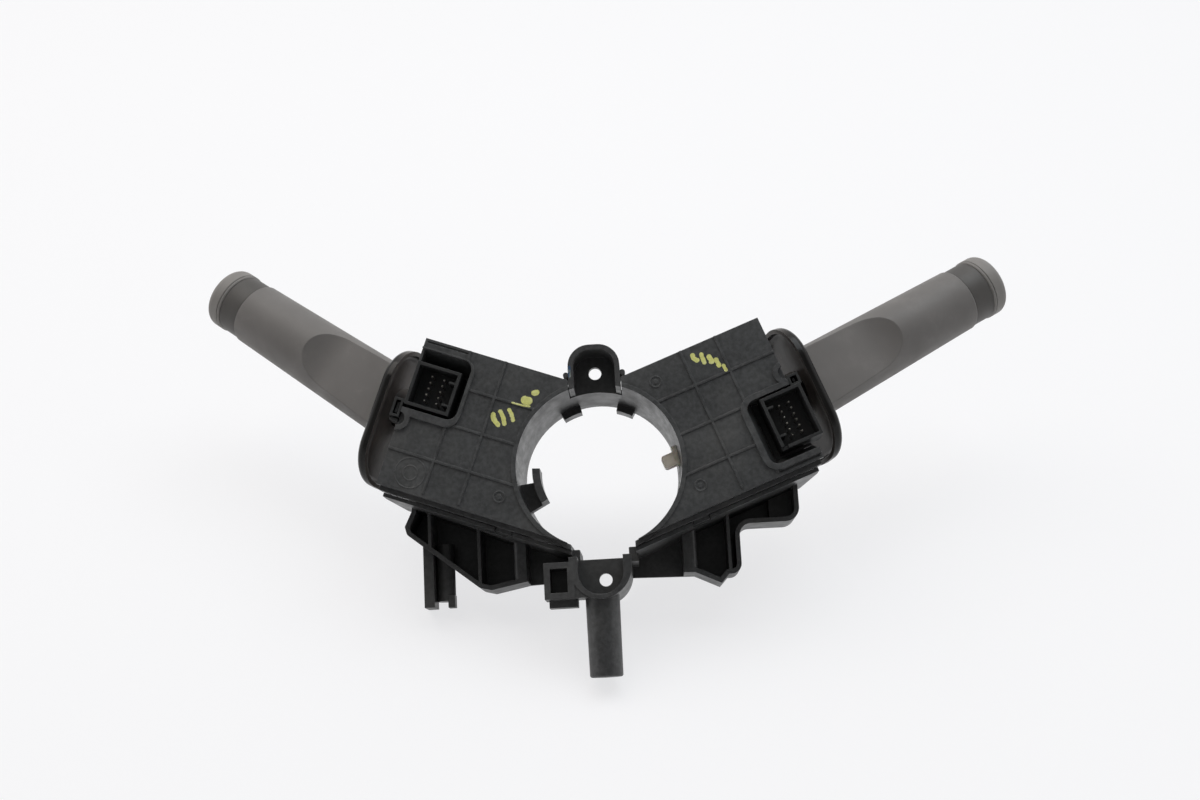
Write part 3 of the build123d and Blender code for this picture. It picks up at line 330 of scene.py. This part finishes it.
def grained_grip(name, colour, roughness, depth):
    """Stalk plastic: even fine grain with handling marks along the stalk."""
    made = Finish(name)
    rounded = made.soft_edges(0.0006)
    cloud = made.noise(0.024, 4.0)
    base = made.mix(made.ramp(cloud, 0.34, 0.68), rgba(colour, 0.92), rgba(colour, 1.08))
    smudge = made.ramp(made.noise(0.012, 5.0, 0.7), 0.56, 0.74, 0.0, 0.22)
    base = made.mix(smudge, base, rgba(colour, 1.5))
    specks = made.ramp(made.noise(0.0007, 2.0), 0.66, 0.80, 0.0, 0.20)
    base = made.mix(specks, base, rgba(colour, 1.8))
    rough = made.ramp(made.noise(0.010, 4.0), 0.35, 0.65, roughness - 0.06, roughness + 0.08)
    bumped = made.bump(made.noise(0.0004, 2.0, 0.5), depth, 1.0, rounded)
    return made.set(Base_Color=base, Roughness=rough, Normal=bumped, Specular_IOR_Level=0.4)


def polished_shroud(name, colour, reflection_share):
    """Polished black plastic with fine rubbing marks, a painted highlight along its edges, and
    inside a painted reflection of the white table.
    """
    made = Finish(name)
    rounded = made.soft_edges(0.0004)
    inside = made.inward_mask()
    cloud = made.noise(0.016, 4.0, 0.6, (1, 1, 0.5))
    # painted reflection: the white table's reflection painted on the inward-facing walls in
    # cloudy patches
    pale_patches = made.maths("MULTIPLY", inside, made.ramp(cloud, 0.32, 0.72, 0.45 * reflection_share, reflection_share))
    base = made.mix(pale_patches, rgba(colour), rgba(settings().finish.shroud_reflection_colour))
    scratch = made.ramp(made.noise(0.0022, 4.0, 0.7, (1, 1, 0.06)), 0.62, 0.80, 0.0, 0.35)
    base = made.mix(made.maths("MULTIPLY", scratch, inside), base, SCRATCH)
    # painted highlight along the edges
    edge_highlight = made.maths("MULTIPLY", made.edge_mask(rounded), EDGE_HIGHLIGHT_SHARE)
    base = made.mix(edge_highlight, base, EDGE_HIGHLIGHT_COLOUR)
    rough = made.ramp(made.noise(0.012, 4.0, 0.6, (1, 1, 0.4)), 0.30, 0.72, 0.12, 0.30)
    bumped = made.bump(made.noise(0.010, 2.0, 0.4), 0.00006, 0.5, rounded)
    return made.set(Base_Color=base, Roughness=rough, Normal=bumped, Specular_IOR_Level=0.22)


def natural_acetal(name, colour):
    """Natural acetal, slightly translucent, with uneven tone and sheen."""
    made = Finish(name)
    rounded = made.soft_edges(0.0003)
    cloud = made.noise(0.004, 4.0)
    base = made.mix(made.ramp(cloud, 0.40, 0.72), rgba(colour), rgba(colour, 0.78))
    rough = made.ramp(made.noise(0.003, 3.0), 0.3, 0.7, 0.30, 0.48)
    bumped = made.bump(made.noise(0.0009, 2.0), 0.00002, 0.7, rounded)
    return made.set(
        Base_Color=base, Roughness=rough, Normal=bumped, Subsurface_Weight=0.15,
        Subsurface_Scale=0.002, Transmission_Weight=0.35)


def plated_metal(name, colour, roughness):
    """Plated wire and pins with fine drawn lines."""
    made = Finish(name)
    rounded = made.soft_edges(0.0001)
    cloud = made.noise(0.0015, 3.0)
    base = made.mix(made.ramp(cloud, 0.35, 0.7), rgba(colour), rgba(colour, 0.8))
    drawn = made.noise(0.0010, 3.0, 0.6, (0.2, 1, 1))
    rough = made.ramp(drawn, 0.3, 0.7, roughness - 0.06, roughness + 0.12)
    bumped = made.bump(made.noise(0.0006, 2.0, 0.5, (0.15, 1, 1)), 0.00001, 0.6, rounded)
    return made.set(Base_Color=base, Roughness=rough, Normal=bumped, Metallic=1.0)


def brushed_paint(name, colour, tone=0.82):
    """Dried brush paint with thin and thick places."""
    made = Finish(name)
    thin = made.ramp(made.noise(0.0012, 4.0, 0.6), 0.38, 0.62)
    base = made.mix(thin, rgba(colour, tone), rgba(colour))
    thick = made.ramp(made.noise(0.0035, 3.0), 0.5, 0.75, 0.0, 0.5)
    base = made.mix(thick, base, THICK_PAINT)
    bumped = made.bump(made.noise(0.0005, 3.0), 0.00004, 0.8)
    return made.set(Base_Color=base, Roughness=0.55, Normal=bumped)


# ---------------------------------------------------------------- pieces
def new_mesh(name, made):
    """Mesh from a finished bmesh, which is freed."""
    mesh = bpy.data.meshes.new(name)
    made.to_mesh(mesh)
    made.free()
    return mesh


def new_piece(name, mesh, material, smooth, body="bracket"):
    """Piece of its own that rides on a body."""
    piece = bpy.data.objects.new(name, mesh)
    bpy.context.scene.collection.objects.link(piece)
    piece.data.materials.append(material)
    for polygon in mesh.polygons:
        polygon.use_smooth = smooth
    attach(piece, body)


def paint_node(node, material):
    """Give a carried-over node its finish."""
    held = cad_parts[node]
    held.data.materials.clear()
    held.data.materials.append(material)


def surface_of(*nodes):
    """Search tree over the rest shape of some nodes."""
    points = []
    faces = []
    for node in nodes:
        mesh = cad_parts[node].data
        start = len(points)
        points += [vertex.co.copy() for vertex in mesh.vertices]
        for polygon in mesh.polygons:
            faces.append(tuple(start + index for index in polygon.vertices))
    return BVHTree.FromPolygons(points, faces)


def smooth_path(points, steps):
    """Points along a rounded line through the given ones."""
    padded = [points[0] * 2 - points[1]] + list(points) + [points[-1] * 2 - points[-2]]
    path = []
    for index in range(1, len(padded) - 2):
        a, b, c, d = padded[index - 1:index + 3]
        for step in range(steps):
            t = step / steps
            path.append(0.5 * (2 * b + (c - a) * t + (2 * a - 5 * b + 4 * c - d) * t * t
                               + (3 * b - a - 3 * c + d) * t ** 3))
    return path + [points[-1].copy()]


def half_width(path, index, width):
    """Half the width of a stroke at one point of its path, rounded off at both ends."""
    half = width / 2
    ends = min(index, len(path) - 1 - index) * (path[1] - path[0]).length
    if ends >= half:
        return half
    return math.sqrt(max(half * half - (half - ends) ** 2, (TIP_SHARE * half) ** 2))


def brush_stroke(name, points, width, lift, surface, material):
    """Ribbon of paint laid on the surface behind it, with ragged sides and rounded ends."""
    path = smooth_path([Vector((x * MM, z * MM)) for x, z in points], PATH_STEPS)
    made = bmesh.new()
    rows = []
    for index, spot in enumerate(path):
        ahead = path[min(index + 1, len(path) - 1)] - path[max(index - 1, 0)]
        side = Vector((-ahead.y, ahead.x)).normalized()
        half = half_width(path, index, width)
        row = []
        for step in range(STROKE_ACROSS + 1):
            reach = 2 * step / STROKE_ACROSS - 1
            rag = noise.noise(Vector((spot.x, spot.y, 0.01 * reach)) * RAG_PITCH)
            flat = spot + side * half * reach * (1 + RAG_SHARE * rag)
            start = Vector((flat.x, RAY_START_Y, flat.y))
            hit = surface.ray_cast(start, Vector((0, 1, 0)))[0]
            place = hit if hit is not None else Vector((flat.x, 0, flat.y))
            rise = lift * (1.0 if abs(reach) < RIM_START else RIM_THICKNESS)
            row.append(made.verts.new((place.x, place.y - rise, place.z)))
        rows.append(row)
    for row, after in zip(rows, rows[1:]):
        for step in range(STROKE_ACROSS):
            made.faces.new((row[step], row[step + 1], after[step + 1], after[step]))
    bmesh.ops.recalc_face_normals(made, faces=made.faces)
    new_piece(name, new_mesh(name, made), material, smooth=True)


def moulded_prism(name, outline, heights, placed, material, soften=0.0):
    """Solid run of one outline between two heights, its sharp edges softened where asked."""
    made = bmesh.new()
    low, high = [
        [made.verts.new(placed(across, along, height)) for across, along in outline]
        for height in heights]
    made.faces.new(low)
    made.faces.new(reversed(high))
    for index in range(len(outline)):
        after = (index + 1) % len(outline)
        made.faces.new((low[after], low[index], high[index], high[after]))
    bmesh.ops.recalc_face_normals(made, faces=made.faces)
    if soften:
        sharp = [edge for edge in made.edges if edge.calc_face_angle(0.0) > SHARP_ANGLE]
        bmesh.ops.bevel(
            made, geom=sharp, offset=soften, segments=2, profile=0.5, affect="EDGES")
    new_piece(name, new_mesh(name, made), material, smooth=False)


def module_point(side, u, y, v):
    """Place in a module from millimetres, turned up and mirrored for the wiper side."""
    tilt = math.radians(MODULE_TILT)
    x = u * math.cos(tilt) - v * math.sin(tilt)
    z = u * math.sin(tilt) + v * math.cos(tilt)
    return Vector((-x if side == "wiper" else x, y, z)) * MM


# ---------------------------------------------------------------- operators
class PieceOperator(Operator):
    """Base of the operators that finish or add pieces."""

    bl_options = {"REGISTER", "UNDO"}

    def execute(self, context):
        self.make(settings())
        return {"FINISHED"}


class STALKSWITCH_OT_black_mouldings(PieceOperator):
    """Finish the bracket, the housings and the rear covers"""

    bl_idname = "stalk_switch.black_mouldings"
    bl_label = "Black mouldings"

    def make(self, values):
        finish = values.finish
        bracket = moulded_plastic(
            "bracket_moulding", finish.bracket_colour, roughness=0.36,
            grain=finish.grain_size, dust=0.10, mottle=0.32)
        cover = moulded_plastic(
            "cover_moulding", finish.cover_colour, roughness=0.40, grain=0.0008, dust=0.12,
            mottle=0.36, depth=0.000012)
        base = moulded_plastic(
            "contact_base_moulding", finish.base_colour, roughness=0.50,
            grain=finish.grain_size, dust=0.03)
        paint_node("column_bracket", bracket)
        for side in SIDES:
            paint_node(side + "_housing", bracket)
            paint_node(side + "_rear_cover", cover)
            paint_node(side + "_contact_base", base)


class STALKSWITCH_OT_stalks(PieceOperator):
    """Finish the grips, collars, knobs, shrouds and stalk cores"""

    bl_idname = "stalk_switch.stalks"
    bl_label = "Stalks"

    def make(self, values):
        finish = values.finish
        finishes = {
            "grip": grained_grip(
                "grip_plastic", finish.grip_colour, roughness=0.56, depth=0.00002),
            "collar": grained_grip(
                "collar_plastic", finish.collar_colour, roughness=0.50, depth=0.000008),
            "knob": grained_grip(
                "knob_plastic", finish.knob_colour, roughness=0.55, depth=0.000012),
            "lever_core": moulded_plastic(
                "stalk_core", finish.base_colour, roughness=0.5, grain=finish.grain_size),
        }
        for side in SIDES:
            for node, material in finishes.items():
                paint_node(f"{side}_{node}", material)
            # the shroud finish carries a painted reflection inside and a painted highlight on its
            # edges
            gloss = polished_shroud(
                side + "_shroud_gloss", finish.shroud_colour, reflection_share=SHROUD_REFLECTION_SHARE[side])
            paint_node(side + "_shroud", gloss)


class STALKSWITCH_OT_inner_pieces(PieceOperator):
    """Finish the pawl, the carriers, the detents, the pins and the springs"""

    bl_idname = "stalk_switch.inner_pieces"
    bl_label = "Inner pieces"

    def make(self, values):
        acetal = natural_acetal("natural_acetal", values.finish.pawl_colour)
        pins = plated_metal("tinned_pins", TIN, roughness=0.28)
        steel = plated_metal("spring_steel", STEEL, roughness=0.25)
        paint_node("cancel_pawl", acetal)
        paint_node("cancel_spring", steel)
        for side in SIDES:
            for node in ("carrier", "detent_block"):
                paint_node(f"{side}_{node}", acetal)
            for node in ("cross_pin", "detent_plunger", "detent_spring"):
                paint_node(f"{side}_{node}", steel)
            for node in ("terminals", "contact_slider"):
                paint_node(f"{side}_{node}", pins)


class STALKSWITCH_OT_small_mouldings(PieceOperator):
    """Add the pocket posts, the well's sloped side, the clip web and the latch bays' floors"""

    bl_idname = "stalk_switch.small_mouldings"
    bl_label = "Small mouldings"

    def make(self, values):
        bracket = bpy.data.materials["bracket_moulding"]
        cover = bpy.data.materials["cover_moulding"]
        for name, (flat, nose) in POST.items():
            self.make_post(name, flat, nose, bracket)
        moulded_prism("wiper_well_slope", WELL_SLOPE, (WELL_SLOPE_START, MODULE_END),
                      lambda y, v, u: module_point("wiper", u, y, v), cover)
        moulded_prism("clip_socket_web", CLIP_WEB, CLIP_WEB_Y,
                      lambda x, z, y: Vector((x, y, z)) * MM, bracket, SOFT_EDGE)
        for side in SIDES:
            self.make_bay_floor(side, cover)

    def make_post(self, name, flat, nose, material):
        """Thick wall with a rounded nose, its top leaning on the tray."""
        outward = 1 if nose > flat else -1
        outline = [(flat, POST_BACK_Y), (flat, POCKET_Y)]
        for step in range(POST_ROUND_STEPS + 1):
            turn = math.radians(90 - 90 * step / POST_ROUND_STEPS)
            outline.append((nose - outward * POST_ROUND * (1 - math.cos(turn)),
                            POCKET_Y + POST_ROUND * (1 - math.sin(turn))))
        outline.append((nose, POST_BACK_Y))
        rise = math.tan(math.radians(MODULE_TILT))

        def placed(x, y, z):
            lift = rise * abs(x - flat) if z == POST_TOP_Z else 0.0
            return Vector((x, y, z + lift)) * MM

        moulded_prism(name, outline, (POST_FOOT_Z, POST_TOP_Z), placed, material, SOFT_EDGE)

    def make_bay_floor(self, side, material):
        """Blind floor of the round bay beside the connector latch."""
        u, v = BAY_CENTRE[side]
        reach = math.acos((MODULE_END - u) / BAY_R)
        outline = []
        for step in range(BAY_STEPS + 1):
            turn = reach + (2 * math.pi - 2 * reach) * step / BAY_STEPS
            outline.append((u + BAY_R * math.cos(turn), v + BAY_R * math.sin(turn)))
        moulded_prism(side + "_bay_floor", outline, BAY_FLOOR_Y,
                      lambda across, along, y: module_point(side, across, y, along), material)


# brush dabs on each cover: share of the stroke width, then points across (X) and up (Z)
# in millimetres
COVER_STROKES = {
    "wiper": (
        (1.1, ((-39.9, 23.4), (-39.6, 20.6), (-37.6, 17.4))),
        (1.0, ((-37.4, 24.2), (-36.0, 21.0), (-35.6, 17.6))),
        (0.9, ((-33.9, 24.6), (-32.6, 21.6), (-32.2, 18.9))),
        (1.9, ((-28.4, 28.6), (-26.6, 27.0), (-24.4, 27.4))),
        (1.3, ((-24.6, 30.4), (-23.2, 29.9), (-21.6, 30.6))),
        (0.5, ((-32.6, 26.6), (-28.6, 25.4), (-25.2, 24.6))),
    ),
    "turn": (
        (1.1, ((38.6, 42.0), (39.2, 39.8), (41.2, 38.7))),
        (1.0, ((42.0, 42.1), (42.6, 39.6), (43.4, 37.2))),
        (1.2, ((44.6, 41.0), (45.8, 38.8), (45.9, 37.2))),
        (1.1, ((47.3, 39.6), (48.4, 37.4), (48.9, 35.6))),
        (0.8, ((50.2, 37.0), (50.9, 35.3), (51.6, 33.8))),
    ),
}


class STALKSWITCH_OT_paint_marks(PieceOperator):
    """Lay the inspection paint on both covers and the marker smear on the upper ear"""

    bl_idname = "stalk_switch.paint_marks"
    bl_label = "Paint marks"

    def make(self, values):
        marks = values.marks
        paint = brushed_paint("inspection_paint", marks.paint_colour)
        for side in SIDES:
            surface = surface_of(side + "_rear_cover")
            for index, (width, points) in enumerate(COVER_STROKES[side]):
                name = f"{side}_paint_stroke_{index + 1}"
                brush_stroke(name, points, width * marks.stroke_width, marks.stroke_lift,
                             surface, paint)
        ink = brushed_paint("marker_ink", marks.smear_colour, tone=0.5)
        ear = surface_of("column_bracket")
        brush_stroke("ear_marker_smear", SMEAR_PATH, SMEAR_WIDTH, SMEAR_LIFT, ear, ink)


class STALKSWITCH_OT_studio(PieceOperator):
    """Set the camera, the tilted table and the soft lights"""

    bl_idname = "stalk_switch.studio"
    bl_label = "Studio"

    def make(self, values):
        studio = values.studio
        make_camera(studio)
        make_table(studio)
        make_lights(studio)
        make_surround(studio)
        bpy.context.scene.view_settings.view_transform = "Standard"


def make_camera(studio):
    """Camera at the chosen place and turn."""
    yaw, pitch, roll = studio.camera_yaw, studio.camera_pitch, studio.camera_roll
    forward = Vector((
        math.sin(yaw) * math.cos(pitch), math.cos(yaw) * math.cos(pitch), -math.sin(pitch)))
    level = Vector((math.cos(yaw), -math.sin(yaw), 0))
    upright = level.cross(forward)
    right = math.cos(roll) * level + math.sin(roll) * upright
    up = -math.sin(roll) * level + math.cos(roll) * upright
    turn = Matrix((right, up, -forward)).transposed().to_4x4()
    data = bpy.data.cameras.new("camera")
    data.sensor_fit = "HORIZONTAL"
    data.sensor_width = SENSOR_WIDTH
    data.lens = studio.lens
    data.clip_start, data.clip_end = CLIP
    camera = bpy.data.objects.new("camera", data)
    camera.matrix_world = Matrix.Translation(studio.camera_place) @ turn
    bpy.context.scene.collection.objects.link(camera)
    bpy.context.scene.camera = camera


def table_material(studio):
    """White table, partly glowing and partly shaded by the object, and clear from behind."""
    made = Finish("table_white")
    colour = studio.table_colour
    base = made.mix(made.ramp(made.noise(0.25, 4.0), 0.4, 0.7), rgba(colour, 0.985), rgba(colour))
    made.set(Base_Color=base, Roughness=0.75, Specular_IOR_Level=0.2)
    path = made.node("ShaderNodeLightPath").outputs
    mirrored = made.maths("MAXIMUM", path["Is Glossy Ray"], path["Is Transmission Ray"])
    weaker = made.maths("MULTIPLY", mirrored, MIRRORED_GLOW)
    seen = made.maths("MAXIMUM", path["Is Camera Ray"], weaker)
    glow = made.node("ShaderNodeEmission", {"Color": TABLE_LIGHT}).outputs[0]
    share = made.maths("MULTIPLY", seen, studio.table_glow)
    front = made.node("ShaderNodeMixShader", {0: share, 1: made.shader.outputs[0], 2: glow})
    behind = made.node("ShaderNodeNewGeometry").outputs["Backfacing"]
    clear = made.node("ShaderNodeBsdfTransparent").outputs[0]
    mixed = made.node("ShaderNodeMixShader", {0: behind, 1: front.outputs[0], 2: clear})
    made.feed(made.output.inputs["Surface"], mixed.outputs[0])
    return made.material


def make_table(studio):
    """Large flat table under the object's resting points."""
    up = Vector(studio.table_up).normalized()
    foot = Vector(TABLE_FOOT) - up * TABLE_GAP
    turn = up.to_track_quat("Z", "Y").to_matrix().to_4x4()
    made = bmesh.new()
    bmesh.ops.create_grid(made, x_segments=8, y_segments=8, size=TABLE_SIZE)
    mesh = new_mesh("table", made)
    table = bpy.data.objects.new("table", mesh)
    table.matrix_world = Matrix.Translation(foot) @ turn
    mesh.materials.append(table_material(studio))
    bpy.context.scene.collection.objects.link(table)


def area_light(name, place, power, colour):
    """Large soft light aimed at the middle of the bore."""
    data = bpy.data.lights.new(name, "AREA")
    data.shape = "RECTANGLE"
    data.size, data.size_y = LIGHT_SIZE
    data.energy = power
    data.color = colour
    light = bpy.data.objects.new(name, data)
    aim = (-Vector(place)).to_track_quat("-Z", "Y")
    light.matrix_world = Matrix.Translation(place) @ aim.to_matrix().to_4x4()
    bpy.context.scene.collection.objects.link(light)


def make_lights(studio):
    """Two overhead lights, warm on the wiper side and cool on the turn side."""
    x, y, z = LIGHT_PLACE
    area_light("warm_light", (-x, y, z), studio.warm_power, WARM)
    area_light("cool_light", (x, y, z), studio.cool_power, COOL)


def make_surround(studio):
    """Even white surround, darker behind the camera except where the camera sees it."""
    world = bpy.data.worlds.new("white_surround")
    world.use_nodes = True
    bpy.context.scene.world = world
    tree = world.node_tree
    background = tree.nodes["Background"]
    background.inputs["Color"].default_value = (1, 1, 1, 1)
    direction = tree.nodes.new("ShaderNodeTexCoord").outputs["Generated"]
    towards = tree.nodes.new("ShaderNodeVectorMath")
    towards.operation = "DOT_PRODUCT"
    towards.inputs[1].default_value = Vector(DARK_TOWARDS).normalized()
    tree.links.new(direction, towards.inputs[0])
    surround = tree.nodes.new("ShaderNodeMapRange")
    surround.interpolation_type = "SMOOTHSTEP"
    ends = (DARK_CONE[0], DARK_CONE[1], studio.sky, studio.dark_side)
    for socket, value in zip(("From Min", "From Max", "To Min", "To Max"), ends):
        surround.inputs[socket].default_value = value
    tree.links.new(towards.outputs["Value"], surround.inputs["Value"])
    path = tree.nodes.new("ShaderNodeLightPath")
    seen = tree.nodes.new("ShaderNodeMapRange")
    tree.links.new(path.outputs["Is Camera Ray"], seen.inputs["Value"])
    tree.links.new(surround.outputs["Result"], seen.inputs["To Min"])
    tree.links.new(seen.outputs["Result"], background.inputs["Strength"])


# ---------------------------------------------------------------- panel
PIECE_OPERATORS = (
    STALKSWITCH_OT_black_mouldings,
    STALKSWITCH_OT_stalks,
    STALKSWITCH_OT_inner_pieces,
    STALKSWITCH_OT_small_mouldings,
    STALKSWITCH_OT_paint_marks,
    STALKSWITCH_OT_studio,
)


class STALKSWITCH_PT_panel(Panel):
    """Steps and settings of the stalk switch"""

    bl_label = "Stalk switch"
    bl_idname = "STALKSWITCH_PT_panel"
    bl_space_type = "VIEW_3D"
    bl_region_type = "UI"
    bl_category = "Stalk switch"

    def draw(self, context):
        for operator in PIECE_OPERATORS:
            self.layout.operator(operator.bl_idname)
        for group in ("finish", "marks", "studio"):
            box = self.layout.box()
            values = getattr(context.scene.stalk_switch, group)
            for name in values.bl_rna.properties.keys():
                if name not in ("rna_type", "name"):
                    box.prop(values, name)


CLASSES = (
    FinishSettings, MarkSettings, StudioSettings, StalkSwitchSettings, *PIECE_OPERATORS,
    STALKSWITCH_PT_panel)


def register():
    for item in CLASSES:
        bpy.utils.register_class(item)
    bpy.types.Scene.stalk_switch = PointerProperty(type=StalkSwitchSettings)


def unregister():
    del bpy.types.Scene.stalk_switch
    for item in reversed(CLASSES):
        bpy.utils.unregister_class(item)


def main():
    register()
    bpy.ops.stalk_switch.black_mouldings()
    bpy.ops.stalk_switch.stalks()
    bpy.ops.stalk_switch.inner_pieces()
    bpy.ops.stalk_switch.small_mouldings()
    bpy.ops.stalk_switch.paint_marks()
    bpy.ops.stalk_switch.studio()


if __name__ == "__main__":
    main()
